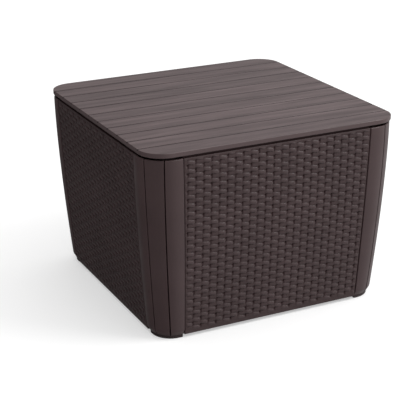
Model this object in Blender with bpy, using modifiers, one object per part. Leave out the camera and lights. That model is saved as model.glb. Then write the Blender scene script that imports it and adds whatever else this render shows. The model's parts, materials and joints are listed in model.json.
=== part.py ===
"""Square resin storage table with a hinged lid.

Four woven-look wall panels stand between four grooved corner posts. A planked lid closes the
box and swings up on two hinges set into the top of the back wall. Metres, +Z up, the front
towards -Y, the origin on the floor under the middle of the table.
"""

import math

import bmesh
import bpy
from mathutils import Matrix, Vector

# Lid
LID_WIDTH = 0.590
LID_TOP = 0.423
LID_BOTTOM = 0.413
LID_CORNER_RADIUS = 0.053
LID_EDGE_ROUND = 0.003
LID_EDGE_STEPS = 3
PLANK_PITCH = 0.0533
PLANK_GROOVES = 10
GROOVE_WIDTH = 0.0030
GROOVE_DEPTH = 0.0020

# Body: its sides lean in towards the floor along a power curve
BODY_TOP = 0.410
WALL_REACH_TOP = 0.2963
WALL_TAPER = 0.0259
WALL_TAPER_POWER = 1.5
SEAM_REACH_TOP = 0.220
SEAM_REACH_FLOOR = 0.2108
SEAM_GAP = 0.0008
GAP = 0.0003

# Wall panels
PANEL_BOTTOM = 0.008
PANEL_THICKNESS = 0.008
PANEL_RECESS = 0.0008
LIP_TOP = LID_BOTTOM - GAP
LIP_THICKNESS = 0.003
LEDGE_LENGTH = 0.340
LEDGE_DEPTH = 0.012
LEDGE_HEIGHT = 0.008
LEDGE_BURIED = 0.002

# Corner posts
POST_BOTTOM = 0.008
POST_CHAMFER_TOP = 0.019
POST_CHAMFER = 0.005
POST_SKIN = 0.0035
POST_TAB = 0.014
POST_RADIUS_TOP = 0.064
POST_RADIUS_FLOOR = 0.050
POST_LEVELS = 8
POST_GROOVE_ANGLE = math.radians(25)
POST_GROOVE_HALF_WIDTH = 0.0013
POST_GROOVE_DEPTH = 0.0016
ARC_STEPS = 9
EDGE_STRIP_STEPS = 3
MIDDLE_STRIP_STEPS = 5

# Feet
FOOT_TOP = POST_BOTTOM - GAP
FOOT_INSET = POST_CHAMFER + 0.0005
FOOT_SEAM_INSET = 0.002
FOOT_EDGE = 0.0015
FOOT_EDGE_STEPS = 2
SPIGOT_TOP = 0.020
SPIGOT_BURIED = 0.002
SPIGOT_CLEARANCE = 0.0008

# Floor panel
FLOOR_BOTTOM = 0.020
FLOOR_THICKNESS = 0.004
FLOOR_WIDTH = 0.517
FLOOR_CORNER_RADIUS = 0.020

# Lid liner
LINER_THICKNESS = 0.003
LINER_WIDTH = 0.5784
LINER_POCKET_WIDTH = 0.5790
SKIRT_WIDTH = 0.558
SKIRT_CORNER_RADIUS = 0.045
SKIRT_BOTTOM = 0.398
RIB_THICKNESS = 0.003
RIB_BOTTOM = 0.405
RIB_PITCH = 0.092
RIBS_EACH_WAY = 5
RIB_BURIED = 0.0015

# Hinges
HINGE_Y = 0.2910
HINGE_Z = 0.4040
HINGE_OFFSET_X = 0.160
HINGE_WIDTH = 0.060
KNUCKLE_RADIUS = 0.0045
KNUCKLE_END = math.radians(140)
KNUCKLE_STEPS = 12
ARM_WIDTH = 0.028
ARM_SIDE_GAP = 0.001
ARM_THICKNESS = 0.0022
ARM_END_Y = 0.245
ARM_SHOULDER = 0.002
BRACKET_THICKNESS = 0.0025
BRACKET_BOTTOM = 0.366
NOTCH_WIDTH = 0.070
NOTCH_DEPTH_BELOW_AXIS = 0.0057
NOTCH_CUT_REACH = 0.016
PIN_RADIUS = 0.0020
PIN_BORE_RADIUS = 0.0021
PIN_HEAD_RADIUS = 0.0032
PIN_HEAD_LENGTH = 0.0015

# Screws
SHANK_RADIUS = 0.0016
SHANK_LENGTH = 0.009
HOLE_RADIUS = 0.0020
HOLE_END_GAP = 0.0005
HEAD_RADIUS = 0.0040
HEAD_HEIGHT = 0.0022
DOME_ANGLE = math.radians(69)
DOME_STEPS = 3
PANEL_SCREW_HEIGHTS = {"lower": 0.110, "upper": 0.320}
PANEL_SCREW_FROM_SEAM = 0.0075
BRACKET_SCREW_Z = 0.378
BRACKET_SCREW_SPREAD = 0.018
ARM_SCREW_Y = 0.256
ARM_SCREW_SPREAD = 0.008
ROUND_SIDES = 12
BORE_SIDES = 24

QUARTER_TURN = math.pi / 2
SHARP_ANGLE = math.radians(30)
CORNERS = ("back_right", "back_left", "front_left", "front_right")
WALLS = ("back", "left", "front", "right")
SIDES = {"left": -1, "right": 1}
# Turns a profile drawn in the XY plane into one in the YZ plane, extruded along X
PROFILE_TO_SIDE = Matrix(((0, 0, 1, 0), (1, 0, 0, 0), (0, 1, 0, 0), (0, 0, 0, 1)))


# ---------------------------------------------------------------- shape of the body

def wall_reach(z):
    """Distance from the middle of the table to the outside of a post at height z."""
    drop = max(0.0, 1 - z / BODY_TOP)
    return WALL_REACH_TOP - WALL_TAPER * drop**WALL_TAPER_POWER


def wall_slope(z):
    """How fast wall_reach grows with height."""
    drop = max(0.0, 1 - z / BODY_TOP)
    return WALL_TAPER * WALL_TAPER_POWER / BODY_TOP * drop ** (WALL_TAPER_POWER - 1)


def between(low, high, z):
    return low + (high - low) * z / BODY_TOP


def seam_reach(z):
    """Distance from a wall's middle to its seam with the post."""
    return between(SEAM_REACH_FLOOR, SEAM_REACH_TOP, z)


def panel_inner_face(z):
    return wall_reach(z) - PANEL_RECESS - PANEL_THICKNESS


def tab_outer_face(z):
    """The face of a post's tab that lies behind the panel."""
    return panel_inner_face(z) - GAP


def heights(low, high, steps):
    return [low + (high - low) * i / steps for i in range(steps + 1)]


# ---------------------------------------------------------------- building blocks

def clear_scene():
    for item in list(bpy.data.objects):
        bpy.data.objects.remove(item)


def new_collection(name):
    collection = bpy.data.collections.new(name)
    bpy.context.scene.collection.children.link(collection)
    return collection


def add_object(name, mesh, collection):
    item = bpy.data.objects.new(name, mesh)
    collection.objects.link(item)
    return item


def mesh_from_bmesh(name, bm):
    mesh = bpy.data.meshes.new(name)
    bm.to_mesh(mesh)
    bm.free()
    return mesh


def baked_mesh(item):
    """The object's mesh with its modifiers applied, in place of the object itself."""
    graph = bpy.context.evaluated_depsgraph_get()
    mesh = bpy.data.meshes.new_from_object(item.evaluated_get(graph))
    mesh.name = item.name
    bpy.data.objects.remove(item)
    return mesh


def on_circle(centre, radius, angle):
    return (centre[0] + radius * math.cos(angle), centre[1] + radius * math.sin(angle))


def arc(centre, radius, start, end, steps=ARC_STEPS):
    """Points along an arc in the plane, both ends included."""
    return [on_circle(centre, radius, start + (end - start) * i / steps) for i in range(steps + 1)]


def rounded_square(width, radius):
    middle = width / 2 - radius
    points = []
    for turn in range(4):
        start = turn * QUARTER_TURN
        across = math.cos(start) - math.sin(start)
        along = math.sin(start) + math.cos(start)
        points += arc((middle * across, middle * along), radius, start, start + QUARTER_TURN)
    return points


def prism_mesh(name, outlines, thickness):
    """A flat outline, with any hole outlines after it, made into a plate centred on its plane."""
    curve = bpy.data.curves.new(name, "CURVE")
    curve.dimensions = "2D"
    curve.fill_mode = "BOTH"
    curve.extrude = thickness / 2
    for outline in outlines:
        spline = curve.splines.new("POLY")
        spline.points.add(len(outline) - 1)
        spline.use_cyclic_u = True
        for point, (x, y) in zip(spline.points, outline):
            point.co = (x, y, 0, 1)
    item = add_object(name, curve, bpy.context.scene.collection)
    bpy.context.view_layer.update()
    mesh = baked_mesh(item)
    bpy.data.curves.remove(curve)
    bm = bmesh.new()
    bm.from_mesh(mesh)
    bmesh.ops.remove_doubles(bm, verts=bm.verts, dist=1e-6)
    bmesh.ops.recalc_face_normals(bm, faces=bm.faces)
    bm.to_mesh(mesh)
    bm.free()
    return mesh


def plate_mesh(name, outlines, bottom, top):
    mesh = prism_mesh(name, outlines, top - bottom)
    mesh.transform(Matrix.Translation((0, 0, (top + bottom) / 2)))
    return mesh


def side_profile_mesh(name, outline, length):
    """An outline in the YZ plane, made into a solid along X, half of it to each side."""
    mesh = prism_mesh(name, [outline], length)
    mesh.transform(PROFILE_TO_SIDE)
    return mesh


def box_mesh(name, low, high):
    bm = bmesh.new()
    bmesh.ops.create_cube(bm, size=1)
    size = Vector(high) - Vector(low)
    middle = (Vector(high) + Vector(low)) / 2
    bmesh.ops.transform(bm, matrix=Matrix.Translation(middle) @ Matrix.Diagonal((*size, 1)), verts=bm.verts)
    return mesh_from_bmesh(name, bm)


def cylinder_mesh(name, radius, bottom, top, sides):
    bm = bmesh.new()
    bmesh.ops.create_cone(
        bm, cap_ends=True, segments=sides, radius1=radius, radius2=radius, depth=top - bottom
    )
    bmesh.ops.translate(bm, vec=(0, 0, (top + bottom) / 2), verts=bm.verts)
    return mesh_from_bmesh(name, bm)


def turned_mesh(name, profile, sides):
    """A profile of (radius, height) points, from the top down its outer side, turned about Z."""
    bm = bmesh.new()
    corners = [bm.verts.new((radius, 0, height)) for radius, height in profile]
    for upper, lower in zip(corners, corners[1:]):
        bm.edges.new((upper, lower))
    item = add_object(name, mesh_from_bmesh(name, bm), bpy.context.scene.collection)
    screw = item.modifiers.new("turn", "SCREW")
    screw.steps = sides
    screw.render_steps = sides
    screw.use_merge_vertices = True
    screw.merge_threshold = 1e-5
    bpy.context.view_layer.update()
    return baked_mesh(item)


def loft_mesh(name, rings):
    """Rings of points, all anticlockwise and of one length, joined from the lowest up."""
    bm = bmesh.new()
    levels = [[bm.verts.new(point) for point in ring] for ring in rings]
    for lower, upper in zip(levels, levels[1:]):
        for i in range(len(lower)):
            j = (i + 1) % len(lower)
            bm.faces.new((lower[i], lower[j], upper[j], upper[i]))
    bm.faces.new(reversed(levels[0]))
    bm.faces.new(levels[-1])
    return mesh_from_bmesh(name, bm)


def round_outline(mesh, height, width, segments):
    """Bevels the edges of a plate that lie at one height."""
    bm = bmesh.new()
    bm.from_mesh(mesh)
    near = 1e-5
    sharp = math.radians(60)
    rim = []
    for edge in bm.edges:
        level = all(abs(corner.co.z - height) < near for corner in edge.verts)
        if level and abs(edge.calc_face_angle(0.0)) > sharp:
            rim.append(edge)
    bmesh.ops.bevel(bm, geom=rim, offset=width, segments=segments, profile=0.5, affect="EDGES")
    bm.to_mesh(mesh)
    bm.free()


def place_on(direction, position):
    """The matrix that stands a screw at a position, its head facing along a direction."""
    return Matrix.Translation(position) @ Vector(direction).to_track_quat("Z", "Y").to_matrix().to_4x4()


def turned(quarter_turns):
    return Matrix.Rotation(quarter_turns * QUARTER_TURN, 4, "Z")


def combine(item, mesh, operation, cutters, matrix=None):
    """Adds one Boolean with a hidden tool object."""
    tool = add_object(f"{item.name}_tool_{len(item.modifiers)}", mesh, cutters)
    tool.matrix_world = matrix or Matrix()
    tool.hide_render = True
    tool.display_type = "WIRE"
    boolean = item.modifiers.new(operation.lower(), "BOOLEAN")
    boolean.operation = operation
    boolean.solver = "EXACT"
    boolean.object = tool


def smooth(mesh):
    mesh.shade_smooth()
    mesh.set_sharp_from_angle(angle=SHARP_ANGLE)


# ---------------------------------------------------------------- materials

def resin(name, colour, roughness):
    return principled(name, colour, roughness, 0.0)


def principled(name, colour, roughness, metallic):
    material = bpy.data.materials.new(name)
    material.use_nodes = True
    shader = material.node_tree.nodes["Principled BSDF"]
    shader.inputs["Base Color"].default_value = (*colour, 1)
    shader.inputs["Roughness"].default_value = roughness
    shader.inputs["Metallic"].default_value = metallic
    return material


def make_materials():
    return {
        "lid": resin("lid_resin", (0.080, 0.062, 0.062), 0.50),
        "panel": resin("woven_resin", (0.062, 0.045, 0.046), 0.48),
        "post": resin("post_resin", (0.064, 0.047, 0.048), 0.45),
        "inner": resin("inner_resin", (0.055, 0.042, 0.042), 0.60),
        "foot": resin("foot_resin", (0.040, 0.032, 0.032), 0.65),
        "steel": principled("zinc_steel", (0.55, 0.55, 0.54), 0.35, 1.0),
    }


def finish(item, material):
    """Gives the finished object its material and smooth round faces."""
    item.data.materials.clear()
    item.data.materials.append(material)
    smooth(item.data)
    return item


# ---------------------------------------------------------------- screws

def screw_mesh():
    dome_angles = heights(0, DOME_ANGLE, DOME_STEPS)
    dome = [(HEAD_RADIUS * math.sin(a), HEAD_HEIGHT * math.cos(a)) for a in dome_angles]
    profile = dome + [
        (HEAD_RADIUS, GAP),
        (SHANK_RADIUS, GAP),
        (SHANK_RADIUS, -SHANK_LENGTH + SHANK_RADIUS),
        (0, -SHANK_LENGTH),
    ]
    return turned_mesh("screw", profile, ROUND_SIDES)


def screw_hole_mesh():
    return cylinder_mesh(
        "screw_hole", HOLE_RADIUS, -SHANK_LENGTH - HOLE_END_GAP, HEAD_RADIUS, ROUND_SIDES
    )


def panel_screw_seat(side, z):
    """Seat of a screw in the back wall, on the inner face of a post's tab."""
    x = side * (seam_reach(z) - PANEL_SCREW_FROM_SEAM)
    y = tab_outer_face(z) - POST_SKIN
    return place_on((0, -1, wall_slope(z)), (x, y, z))


def bracket_screw_seat(hinge_x, spread_side):
    z = BRACKET_SCREW_Z
    x = hinge_x + spread_side * BRACKET_SCREW_SPREAD
    y = tab_outer_face(z) - BRACKET_THICKNESS
    return place_on((0, -1, wall_slope(z)), (x, y, z))


def arm_screw_seat(hinge_x, spread_side):
    x = hinge_x + spread_side * ARM_SCREW_SPREAD
    return place_on((0, 0, -1), (x, ARM_SCREW_Y, LID_BOTTOM - GAP - ARM_THICKNESS))


# ---------------------------------------------------------------- body parts

def post_section(z):
    """Section of the back-right post at height z, anticlockwise."""
    reach = wall_reach(z)
    chamfer = POST_CHAMFER * max(0.0, (POST_CHAMFER_TOP - z) / (POST_CHAMFER_TOP - POST_BOTTOM))
    outer = reach - chamfer
    seam = seam_reach(z) + SEAM_GAP / 2
    radius = between(POST_RADIUS_FLOOR, POST_RADIUS_TOP, z) - chamfer
    centre = outer - radius
    inner = outer - POST_SKIN
    tab_out = tab_outer_face(z)
    tab_in = tab_out - POST_SKIN
    tab_end = seam - POST_TAB
    web = seam + POST_SKIN

    groove = POST_GROOVE_HALF_WIDTH / radius
    first, second = POST_GROOVE_ANGLE, QUARTER_TURN - POST_GROOVE_ANGLE
    middle = (centre, centre)
    skin = arc(middle, radius, 0, first - groove, EDGE_STRIP_STEPS)
    skin.append(on_circle(middle, radius - POST_GROOVE_DEPTH, first))
    skin += arc(middle, radius, first + groove, second - groove, MIDDLE_STRIP_STEPS)
    skin.append(on_circle(middle, radius - POST_GROOVE_DEPTH, second))
    skin += arc(middle, radius, second + groove, QUARTER_TURN, EDGE_STRIP_STEPS)

    section = [(outer, seam)] + skin + [(seam, outer)]
    section += [(seam, tab_out), (tab_end, tab_out), (tab_end, tab_in), (web, tab_in), (web, inner)]
    section += arc(middle, radius - POST_SKIN, QUARTER_TURN, 0)
    section += [(inner, web), (tab_in, web), (tab_in, tab_end), (tab_out, tab_end), (tab_out, seam)]
    return [(x, y, z) for x, y in section]


def make_posts(parts, cutters, material):
    levels = [POST_BOTTOM] + heights(POST_CHAMFER_TOP, BODY_TOP, POST_LEVELS)
    rings = [post_section(z) for z in levels]
    blank = add_object("post_blank", loft_mesh("post", rings), parts)
    for z in PANEL_SCREW_HEIGHTS.values():
        combine(blank, screw_hole_mesh(), "DIFFERENCE", cutters, panel_screw_seat(1, z))
        combine(blank, screw_hole_mesh(), "DIFFERENCE", cutters, turned(-1) @ panel_screw_seat(-1, z))
    bpy.context.view_layer.update()
    mesh = baked_mesh(blank)
    for turn, corner in enumerate(CORNERS):
        post = add_object(f"corner_post_{corner}", mesh, parts)
        post.rotation_euler.z = turn * QUARTER_TURN
        finish(post, material)


def panel_outline():
    """Section of the back wall in the YZ plane."""
    levels = heights(PANEL_BOTTOM, BODY_TOP, POST_LEVELS)
    outline = [(wall_reach(z) - PANEL_RECESS, z) for z in levels]
    lip = panel_inner_face(BODY_TOP)
    outline += [(lip + LIP_THICKNESS, BODY_TOP), (lip + LIP_THICKNESS, LIP_TOP), (lip, LIP_TOP)]
    outline += [(panel_inner_face(z), z) for z in reversed(levels)]
    return outline


def panel_blank(name, parts, cutters):
    """The back wall's plate, its ends following the seams, with its ledge and screw holes."""
    mesh = side_profile_mesh(name, panel_outline(), 2 * SEAM_REACH_TOP)
    for corner in mesh.vertices:
        z = min(corner.co.z, BODY_TOP)
        corner.co.x = math.copysign(seam_reach(z) - SEAM_GAP / 2, corner.co.x)
    panel = add_object(name, mesh, parts)

    ledge_top = FLOOR_BOTTOM - GAP
    ledge_root = panel_inner_face(ledge_top) + LEDGE_BURIED
    low = (-LEDGE_LENGTH / 2, ledge_root - LEDGE_BURIED - LEDGE_DEPTH, ledge_top - LEDGE_HEIGHT)
    high = (LEDGE_LENGTH / 2, ledge_root, ledge_top)
    combine(panel, box_mesh("ledge", low, high), "UNION", cutters)
    for side in SIDES.values():
        for z in PANEL_SCREW_HEIGHTS.values():
            combine(panel, screw_hole_mesh(), "DIFFERENCE", cutters, panel_screw_seat(side, z))
    return panel


def make_plain_panels(parts, cutters, material):
    """Front, left and right walls are one moulding, turned to each side."""
    blank = panel_blank("panel_blank", parts, cutters)
    bpy.context.view_layer.update()
    mesh = baked_mesh(blank)
    for turn, wall in enumerate(WALLS):
        if wall == "back":
            continue
        panel = add_object(f"{wall}_panel", mesh, parts)
        panel.rotation_euler.z = turn * QUARTER_TURN
        finish(panel, material)


def make_back_panel(parts, cutters, material):
    """The back wall is also notched for the hinges and drilled for their brackets."""
    panel = panel_blank("back_panel", parts, cutters)
    notch_bottom = HINGE_Z - NOTCH_DEPTH_BELOW_AXIS
    for side in SIDES.values():
        hinge_x = side * HINGE_OFFSET_X
        low = (hinge_x - NOTCH_WIDTH / 2, HINGE_Y - NOTCH_CUT_REACH, notch_bottom)
        high = (hinge_x + NOTCH_WIDTH / 2, HINGE_Y + NOTCH_CUT_REACH, LID_TOP)
        combine(panel, box_mesh("notch", low, high), "DIFFERENCE", cutters)
        for spread_side in SIDES.values():
            seat = bracket_screw_seat(hinge_x, spread_side)
            combine(panel, screw_hole_mesh(), "DIFFERENCE", cutters, seat)
    finish(panel, material)


def make_feet(parts, cutters, material):
    """A low pad under each post, with a spigot that plugs into the post's open end."""
    reach = wall_reach(0) - FOOT_INSET
    near = seam_reach(0) + FOOT_SEAM_INSET
    radius = POST_RADIUS_FLOOR - FOOT_INSET
    outline = [(near, near), (reach, near)]
    outline += arc((reach - radius, reach - radius), radius, 0, QUARTER_TURN)
    outline += [(near, reach)]
    pad = plate_mesh("foot", [outline], 0, FOOT_TOP)
    round_outline(pad, 0, FOOT_EDGE, FOOT_EDGE_STEPS)

    plug_reach = wall_reach(POST_BOTTOM) - POST_CHAMFER - POST_SKIN - SPIGOT_CLEARANCE
    plug_near = seam_reach(SPIGOT_TOP) + POST_SKIN + SPIGOT_CLEARANCE
    plug_radius = POST_RADIUS_FLOOR - POST_CHAMFER - POST_SKIN - SPIGOT_CLEARANCE
    plug = [(plug_near, plug_near), (plug_reach, plug_near)]
    plug += arc((plug_reach - plug_radius, plug_reach - plug_radius), plug_radius, 0, QUARTER_TURN)
    plug += [(plug_near, plug_reach)]
    blank = add_object("foot_blank", pad, parts)
    spigot = plate_mesh("spigot", [plug], FOOT_TOP - SPIGOT_BURIED, SPIGOT_TOP)
    combine(blank, spigot, "UNION", cutters)
    bpy.context.view_layer.update()
    mesh = baked_mesh(blank)
    for turn, corner in enumerate(CORNERS):
        foot = add_object(f"foot_{corner}", mesh, parts)
        foot.rotation_euler.z = turn * QUARTER_TURN
        finish(foot, material)


def make_floor(parts, cutters, material):
    outline = rounded_square(FLOOR_WIDTH, FLOOR_CORNER_RADIUS)
    top = FLOOR_BOTTOM + FLOOR_THICKNESS
    floor = add_object("floor_panel", plate_mesh("floor_panel", [outline], FLOOR_BOTTOM, top), parts)
    rib_low = PANEL_BOTTOM + LEDGE_HEIGHT / 2
    half = LEDGE_LENGTH / 2
    for offset in (-RIB_PITCH, 0, RIB_PITCH):
        for along_x in (True, False):
            low = (-half, offset - RIB_THICKNESS / 2, rib_low)
            high = (half, offset + RIB_THICKNESS / 2, FLOOR_BOTTOM + RIB_BURIED)
            rib = box_mesh("floor_rib", low, high)
            combine(floor, rib, "UNION", cutters, Matrix() if along_x else turned(1))
    finish(floor, material)


# ---------------------------------------------------------------- lid

def plank_outline():
    """The lid's section across the planks: a flat top with V grooves between the planks."""
    past_edge = LID_WIDTH / 2 + LID_CORNER_RADIUS
    outline = [(-past_edge, LID_TOP)]
    for i in range(PLANK_GROOVES):
        y = (i - (PLANK_GROOVES - 1) / 2) * PLANK_PITCH
        outline.append((y - GROOVE_WIDTH / 2, LID_TOP))
        outline.append((y, LID_TOP - GROOVE_DEPTH))
        outline.append((y + GROOVE_WIDTH / 2, LID_TOP))
    below = LID_BOTTOM - LINER_THICKNESS
    outline += [(past_edge, LID_TOP), (past_edge, below), (-past_edge, below)]
    return outline


def make_lid_top(parts, cutters, material):
    outline = rounded_square(LID_WIDTH, LID_CORNER_RADIUS)
    mesh = plate_mesh("lid_top", [outline], LID_BOTTOM, LID_TOP + GAP)
    round_outline(mesh, LID_TOP + GAP, LID_EDGE_ROUND, LID_EDGE_STEPS)
    lid = add_object("lid_top", mesh, parts)
    planks = side_profile_mesh("planks", plank_outline(), LID_WIDTH + LID_CORNER_RADIUS)
    combine(lid, planks, "INTERSECT", cutters)
    pocket_radius = LID_CORNER_RADIUS - (LID_WIDTH - LINER_POCKET_WIDTH) / 2
    pocket = rounded_square(LINER_POCKET_WIDTH, pocket_radius)
    pocket_top = LID_BOTTOM + LINER_THICKNESS + GAP
    pocket_mesh = plate_mesh("pocket", [pocket], LID_BOTTOM - LINER_THICKNESS, pocket_top)
    combine(lid, pocket_mesh, "DIFFERENCE", cutters)
    drill_for_arms(lid, cutters)
    finish(lid, material)


def drill_for_arms(item, cutters):
    for side in SIDES.values():
        for spread_side in SIDES.values():
            seat = arm_screw_seat(side * HINGE_OFFSET_X, spread_side)
            combine(item, screw_hole_mesh(), "DIFFERENCE", cutters, seat)


def make_lid_liner(parts, cutters, material):
    """A thin plate with a grid of ribs and a skirt that centres the lid in the box's mouth."""
    plate_top = LID_BOTTOM + LINER_THICKNESS
    corner = LID_CORNER_RADIUS - (LID_WIDTH - LINER_WIDTH) / 2
    outline = rounded_square(LINER_WIDTH, corner)
    liner = add_object("lid_liner", plate_mesh("lid_liner", [outline], LID_BOTTOM, plate_top), parts)
    buried_top = LID_BOTTOM + RIB_BURIED
    skirt = [
        rounded_square(SKIRT_WIDTH, SKIRT_CORNER_RADIUS),
        rounded_square(SKIRT_WIDTH - 2 * RIB_THICKNESS, SKIRT_CORNER_RADIUS - RIB_THICKNESS),
    ]
    combine(liner, plate_mesh("skirt", skirt, SKIRT_BOTTOM, buried_top), "UNION", cutters)
    half = (SKIRT_WIDTH - RIB_THICKNESS) / 2
    for i in range(RIBS_EACH_WAY):
        offset = (i - (RIBS_EACH_WAY - 1) / 2) * RIB_PITCH
        for turn in range(2):
            low = (-half, offset - RIB_THICKNESS / 2, RIB_BOTTOM)
            high = (half, offset + RIB_THICKNESS / 2, buried_top)
            combine(liner, box_mesh("rib", low, high), "UNION", cutters, turned(turn))
    for side in SIDES.values():
        middle = side * HINGE_OFFSET_X
        half_notch = ARM_WIDTH / 2 + 2 * ARM_SIDE_GAP
        low = (middle - half_notch, ARM_END_Y, SKIRT_BOTTOM - RIB_THICKNESS)
        high = (middle + half_notch, HINGE_Y, LID_BOTTOM)
        combine(liner, box_mesh("skirt_notch", low, high), "DIFFERENCE", cutters)
    drill_for_arms(liner, cutters)
    finish(liner, material)


# ---------------------------------------------------------------- hinges

def bracket_outline():
    """Plate behind the back wall, rising to a knuckle round the hinge axis."""
    outer_levels = heights(BRACKET_BOTTOM, HINGE_Z - KNUCKLE_RADIUS, 3)
    inner_levels = heights(BRACKET_BOTTOM, HINGE_Z - ARM_SHOULDER, 3)
    outline = [(tab_outer_face(z), z) for z in outer_levels]
    outline += arc((HINGE_Y, HINGE_Z), KNUCKLE_RADIUS, -QUARTER_TURN, KNUCKLE_END, KNUCKLE_STEPS)
    outline += [(tab_outer_face(z) - BRACKET_THICKNESS, z) for z in reversed(inner_levels)]
    return outline


def arm_outline():
    """Leaf under the lid, turning down at its outer end to a knuckle round the hinge axis."""
    top = LID_BOTTOM - GAP
    under = top - ARM_THICKNESS
    outer = HINGE_Y + KNUCKLE_RADIUS
    inner = HINGE_Y - KNUCKLE_RADIUS
    outline = [(ARM_END_Y, under), (ARM_END_Y, top), (outer - ARM_SHOULDER, top), (outer, top - ARM_SHOULDER)]
    outline += arc((HINGE_Y, HINGE_Z), KNUCKLE_RADIUS, 0, -math.pi, KNUCKLE_STEPS)
    outline += [(inner, under - ARM_SHOULDER), (inner - ARM_SHOULDER, under)]
    return outline


def bore_mesh():
    return cylinder_mesh("bore", PIN_BORE_RADIUS, -HINGE_WIDTH, HINGE_WIDTH, BORE_SIDES)


def hinge_axis(hinge_x):
    """Stands a piece turned about Z on the hinge's axis, which runs along X."""
    return Matrix.Translation((hinge_x, HINGE_Y, HINGE_Z)) @ Matrix.Rotation(QUARTER_TURN, 4, "Y")


def make_hinge(name, hinge_x, parts, cutters, materials):
    shift = Matrix.Translation((hinge_x, 0, 0))
    bracket = side_profile_mesh(f"hinge_bracket_{name}", bracket_outline(), HINGE_WIDTH)
    bracket.transform(shift)
    bracket = add_object(f"hinge_bracket_{name}", bracket, parts)
    half_gap = ARM_WIDTH / 2 + ARM_SIDE_GAP
    low = (hinge_x - half_gap, HINGE_Y - LEDGE_DEPTH, HINGE_Z - KNUCKLE_RADIUS - ARM_SIDE_GAP)
    high = (hinge_x + half_gap, HINGE_Y + LEDGE_DEPTH, LID_TOP)
    combine(bracket, box_mesh("arm_space", low, high), "DIFFERENCE", cutters)
    combine(bracket, bore_mesh(), "DIFFERENCE", cutters, hinge_axis(hinge_x))

    # The arm's origin lies on the hinge's axis
    to_axis = Matrix.Translation((0, -HINGE_Y, -HINGE_Z))
    arm_shape = side_profile_mesh(f"hinge_arm_{name}", arm_outline(), ARM_WIDTH)
    arm_shape.transform(to_axis)
    arm = add_object(f"hinge_arm_{name}", arm_shape, parts)
    arm.location = (hinge_x, HINGE_Y, HINGE_Z)
    combine(arm, bore_mesh(), "DIFFERENCE", cutters, hinge_axis(hinge_x))

    for spread_side in SIDES.values():
        combine(bracket, screw_hole_mesh(), "DIFFERENCE", cutters, bracket_screw_seat(hinge_x, spread_side))
        combine(arm, screw_hole_mesh(), "DIFFERENCE", cutters, arm_screw_seat(hinge_x, spread_side))
    finish(bracket, materials["inner"])
    finish(arm, materials["inner"])


def make_pins(parts, material):
    end = HINGE_WIDTH / 2 + GAP
    profile = [
        (0, end + PIN_HEAD_LENGTH),
        (PIN_HEAD_RADIUS, end + PIN_HEAD_LENGTH),
        (PIN_HEAD_RADIUS, end),
        (PIN_RADIUS, end),
        (PIN_RADIUS, -end),
        (0, -end),
    ]
    mesh = turned_mesh("hinge_pin", profile, BORE_SIDES)
    for name, side in SIDES.items():
        pin = add_object(f"hinge_pin_{name}", mesh, parts)
        pin.matrix_world = hinge_axis(side * HINGE_OFFSET_X)
        finish(pin, material)


def make_screws(parts, material):
    mesh = screw_mesh()
    seats = {}
    for turn, wall in enumerate(WALLS):
        for name, side in SIDES.items():
            for level, z in PANEL_SCREW_HEIGHTS.items():
                seats[f"panel_screw_{wall}_{name}_{level}"] = turned(turn) @ panel_screw_seat(side, z)
    for hinge, side in SIDES.items():
        for name, spread_side in SIDES.items():
            hinge_x = side * HINGE_OFFSET_X
            seats[f"bracket_screw_{hinge}_{name}"] = bracket_screw_seat(hinge_x, spread_side)
            seats[f"arm_screw_{hinge}_{name}"] = arm_screw_seat(hinge_x, spread_side)
    for name, seat in seats.items():
        screw = add_object(name, mesh, parts)
        screw.matrix_world = seat
        finish(screw, material)


def main():
    clear_scene()
    parts = new_collection("wicker_storage_table")
    cutters = new_collection("cutters")
    materials = make_materials()
    make_posts(parts, cutters, materials["post"])
    make_plain_panels(parts, cutters, materials["panel"])
    make_back_panel(parts, cutters, materials["panel"])
    make_feet(parts, cutters, materials["foot"])
    make_floor(parts, cutters, materials["inner"])
    make_lid_top(parts, cutters, materials["lid"])
    make_lid_liner(parts, cutters, materials["inner"])
    for name, side in SIDES.items():
        make_hinge(name, side * HINGE_OFFSET_X, parts, cutters, materials)
    make_pins(parts, materials["steel"])
    make_screws(parts, materials["steel"])


main()
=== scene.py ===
"""Looks of the square resin storage table: woven wall skins, grooved posts and a planked lid,
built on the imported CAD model. Metres, +Z up, the front towards -Y."""

import json
import math
from contextlib import contextmanager

import bmesh
import bpy
import numpy as np
from mathutils import Matrix, Vector


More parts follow.
